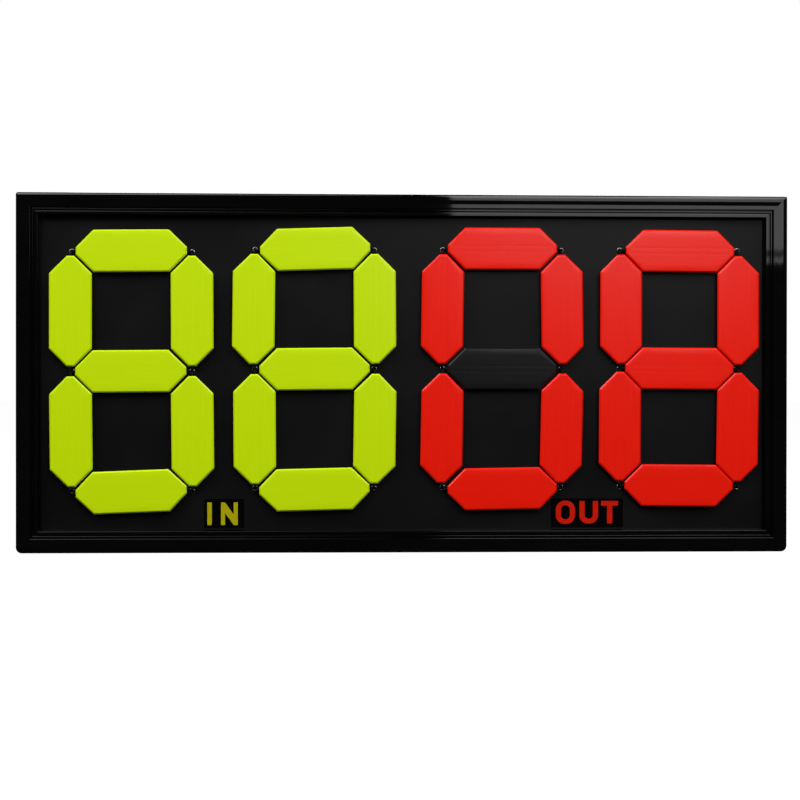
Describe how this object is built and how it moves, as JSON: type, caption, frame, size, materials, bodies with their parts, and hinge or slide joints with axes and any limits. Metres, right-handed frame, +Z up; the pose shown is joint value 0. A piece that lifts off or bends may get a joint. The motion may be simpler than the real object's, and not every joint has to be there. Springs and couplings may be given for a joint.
{
  "type": "flap number board",
  "caption": "Framed hand-set number board for substitutions: segment digits made of two-sided flaps that turn over on elastic cords.",
  "frame": {"origin": "middle of the bottom edge, halfway through the depth of the board, standing upright", "axes": "+X to the right seen from the front, +Y to the back, +Z up; the digits face -Y"},
  "size_m": [0.7226, 0.03, 0.3354],
  "materials": {
    "frame_moulding": "glossy black moulded polystyrene",
    "panel": "satin black sheet plastic",
    "back_cover": "matt black sheet plastic with a fine grain",
    "lime_flap": "satin fluorescent yellow-green face on black moulded plastic",
    "red_flap": "satin fluorescent red face on black moulded plastic",
    "black_flap": "satin black face of a flap",
    "elastic_cord": "black braided elastic cord",
    "plated_steel": "zinc-plated steel",
    "eyelet": "nickel-plated eyelet",
    "post": "black plastic",
    "label": "black vinyl with coloured lettering"
  },
  "bodies": {
    "root": {"top_rail": "frame_moulding", "right_stile": "frame_moulding", "bottom_rail": "frame_moulding", "left_stile": "frame_moulding", "front_panel": "panel", "back_cover": "back_cover", "cover_screw_1": "plated_steel", "cover_screw_2": "plated_steel", "cover_screw_3": "plated_steel", "cover_screw_4": "plated_steel", "cover_screw_5": "plated_steel", "cover_screw_6": "plated_steel", "cover_screw_7": "plated_steel", "cover_screw_8": "plated_steel", "top_right_corner_key": "plated_steel", "bottom_right_corner_key": "plated_steel", "bottom_left_corner_key": "plated_steel", "top_left_corner_key": "plated_steel", "panel_post_1": "post", "panel_post_2": "post", "panel_post_3": "post", "panel_post_4": "post", "panel_post_5": "post", "panel_post_6": "post", "panel_post_7": "post", "panel_post_8": "post", "in_label": "label", "out_label": "label", "in_tens_cord": "elastic_cord", "in_units_cord": "elastic_cord", "out_tens_cord": "elastic_cord", "out_units_cord": "elastic_cord"},
    "in_tens_top": {"in_tens_top_flap": "lime_flap"},
    "in_tens_upper_left": {"in_tens_upper_left_flap": "lime_flap"},
    "in_tens_upper_right": {"in_tens_upper_right_flap": "lime_flap"},
    "in_tens_middle": {"in_tens_middle_flap": "lime_flap"},
    "in_tens_lower_left": {"in_tens_lower_left_flap": "lime_flap"},
    "in_tens_lower_right": {"in_tens_lower_right_flap": "lime_flap"},
    "in_tens_bottom": {"in_tens_bottom_flap": "lime_flap"},
    "in_units_top": {"in_units_top_flap": "lime_flap"},
    "in_units_upper_left": {"in_units_upper_left_flap": "lime_flap"},
    "in_units_upper_right": {"in_units_upper_right_flap": "lime_flap"},
    "in_units_middle": {"in_units_middle_flap": "lime_flap"},
    "in_units_lower_left": {"in_units_lower_left_flap": "lime_flap"},
    "in_units_lower_right": {"in_units_lower_right_flap": "lime_flap"},
    "in_units_bottom": {"in_units_bottom_flap": "lime_flap"},
    "out_tens_top": {"out_tens_top_flap": "red_flap"},
    "out_tens_upper_left": {"out_tens_upper_left_flap": "red_flap"},
    "out_tens_upper_right": {"out_tens_upper_right_flap": "red_flap"},
    "out_tens_middle": {"out_tens_middle_flap": "black_flap"},
    "out_tens_lower_left": {"out_tens_lower_left_flap": "red_flap"},
    "out_tens_lower_right": {"out_tens_lower_right_flap": "red_flap"},
    "out_tens_bottom": {"out_tens_bottom_flap": "red_flap"},
    "out_units_top": {"out_units_top_flap": "red_flap"},
    "out_units_upper_left": {"out_units_upper_left_flap": "red_flap"},
    "out_units_upper_right": {"out_units_upper_right_flap": "red_flap"},
    "out_units_middle": {"out_units_middle_flap": "red_flap"},
    "out_units_lower_left": {"out_units_lower_left_flap": "red_flap"},
    "out_units_lower_right": {"out_units_lower_right_flap": "red_flap"},
    "out_units_bottom": {"out_units_bottom_flap": "red_flap"}
  },
  "joints": [
    {"name": "in_tens_top_turn", "type": "hinge", "parent": "root", "child": "in_tens_top", "pos_m": [-0.25495, -0.009, 0.28165], "axis": [1, 0, 0.0087], "range_deg": [0, 180]},
    {"name": "in_tens_upper_left_turn", "type": "hinge", "parent": "root", "child": "in_tens_upper_left", "pos_m": [-0.31135, -0.009, 0.22525], "axis": [0, 0, 1], "range_deg": [0, 180]},
    {"name": "in_tens_upper_right_turn", "type": "hinge", "parent": "root", "child": "in_tens_upper_right", "pos_m": [-0.19855, -0.009, 0.22575], "axis": [-0.0052, 0, 1], "range_deg": [0, 180]},
    {"name": "in_tens_middle_turn", "type": "hinge", "parent": "root", "child": "in_tens_middle", "pos_m": [-0.25545, -0.009, 0.16935], "axis": [1, 0, 0.0087], "range_deg": [0, 180]},
    {"name": "in_tens_lower_left_turn", "type": "hinge", "parent": "root", "child": "in_tens_lower_left", "pos_m": [-0.31085, -0.009, 0.11295], "axis": [-0.0105, 0, 0.9999], "range_deg": [0, 180]},
    {"name": "in_tens_lower_right_turn", "type": "hinge", "parent": "root", "child": "in_tens_lower_right", "pos_m": [-0.19805, -0.009, 0.11345], "axis": [-0.0105, 0, 0.9999], "range_deg": [0, 180]},
    {"name": "in_tens_bottom_turn", "type": "hinge", "parent": "root", "child": "in_tens_bottom", "pos_m": [-0.25495, -0.009, 0.05705], "axis": [0.9993, 0, 0.0384], "range_deg": [0, 180]},
    {"name": "in_units_top_turn", "type": "hinge", "parent": "root", "child": "in_units_top", "pos_m": [-0.08385, -0.009, 0.28405], "axis": [0.9995, 0, 0.0314], "range_deg": [0, 180]},
    {"name": "in_units_upper_left_turn", "type": "hinge", "parent": "root", "child": "in_units_upper_left", "pos_m": [-0.14125, -0.009, 0.22765], "axis": [0.0105, 0, 0.9999], "range_deg": [0, 180]},
    {"name": "in_units_upper_right_turn", "type": "hinge", "parent": "root", "child": "in_units_upper_right", "pos_m": [-0.02795, -0.009, 0.22815], "axis": [-0.007, 0, 1], "range_deg": [0, 180]},
    {"name": "in_units_middle_turn", "type": "hinge", "parent": "root", "child": "in_units_middle", "pos_m": [-0.08435, -0.009, 0.17175], "axis": [0.9999, 0, 0.0105], "range_deg": [0, 180]},
    {"name": "in_units_lower_left_turn", "type": "hinge", "parent": "root", "child": "in_units_lower_left", "pos_m": [-0.14025, -0.009, 0.11535], "axis": [-0.007, 0, 1], "range_deg": [0, 180]},
    {"name": "in_units_lower_right_turn", "type": "hinge", "parent": "root", "child": "in_units_lower_right", "pos_m": [-0.02795, -0.009, 0.11585], "axis": [0.014, 0, 0.9999], "range_deg": [0, 180]},
    {"name": "in_units_bottom_turn", "type": "hinge", "parent": "root", "child": "in_units_bottom", "pos_m": [-0.08435, -0.009, 0.05895], "axis": [0.9997, 0, 0.0244], "range_deg": [0, 180]},
    {"name": "out_tens_top_turn", "type": "hinge", "parent": "root", "child": "out_tens_top", "pos_m": [0.09195, -0.009, 0.28505], "axis": [1, 0, 0], "range_deg": [0, 180]},
    {"name": "out_tens_upper_left_turn", "type": "hinge", "parent": "root", "child": "out_tens_upper_left", "pos_m": [0.03555, -0.009, 0.22815], "axis": [0.014, 0, 0.9999], "range_deg": [0, 180]},
    {"name": "out_tens_upper_right_turn", "type": "hinge", "parent": "root", "child": "out_tens_upper_right", "pos_m": [0.14835, -0.009, 0.22815], "axis": [-0.014, 0, 0.9999], "range_deg": [0, 180]},
    {"name": "out_tens_middle_turn", "type": "hinge", "parent": "root", "child": "out_tens_middle", "pos_m": [0.09195, -0.009, 0.17225], "axis": [1, 0, 0], "range_deg": [0, 180]},
    {"name": "out_tens_lower_left_turn", "type": "hinge", "parent": "root", "child": "out_tens_lower_left", "pos_m": [0.03505, -0.009, 0.11635], "axis": [0.0175, 0, 0.9998], "range_deg": [0, 180]},
    {"name": "out_tens_lower_right_turn", "type": "hinge", "parent": "root", "child": "out_tens_lower_right", "pos_m": [0.14785, -0.009, 0.11635], "axis": [0.0209, 0, 0.9998], "range_deg": [0, 180]},
    {"name": "out_tens_bottom_turn", "type": "hinge", "parent": "root", "child": "out_tens_bottom", "pos_m": [0.09195, -0.009, 0.05945], "axis": [0.9998, 0, 0.0175], "range_deg": [0, 180]},
    {"name": "out_units_top_turn", "type": "hinge", "parent": "root", "child": "out_units_top", "pos_m": [0.26005, -0.009, 0.28345], "axis": [1, 0, -0.007], "range_deg": [0, 180]},
    {"name": "out_units_upper_left_turn", "type": "hinge", "parent": "root", "child": "out_units_upper_left", "pos_m": [0.20415, -0.009, 0.22855], "axis": [0, 0, 1], "range_deg": [0, 180]},
    {"name": "out_units_upper_right_turn", "type": "hinge", "parent": "root", "child": "out_units_upper_right", "pos_m": [0.31545, -0.009, 0.22755], "axis": [0, 0, 1], "range_deg": [0, 180]},
    {"name": "out_units_middle_turn", "type": "hinge", "parent": "root", "child": "out_units_middle", "pos_m": [0.25955, -0.009, 0.17265], "axis": [1, 0, -0.007], "range_deg": [0, 180]},
    {"name": "out_units_lower_left_turn", "type": "hinge", "parent": "root", "child": "out_units_lower_left", "pos_m": [0.20315, -0.009, 0.11825], "axis": [0.0052, 0, 1], "range_deg": [0, 180]},
    {"name": "out_units_lower_right_turn", "type": "hinge", "parent": "root", "child": "out_units_lower_right", "pos_m": [0.31495, -0.009, 0.11725], "axis": [0.014, 0, 0.9999], "range_deg": [0, 180]},
    {"name": "out_units_bottom_turn", "type": "hinge", "parent": "root", "child": "out_units_bottom", "pos_m": [0.25905, -0.009, 0.06235], "axis": [1, 0, -0.0087], "range_deg": [0, 180]}
  ]
}
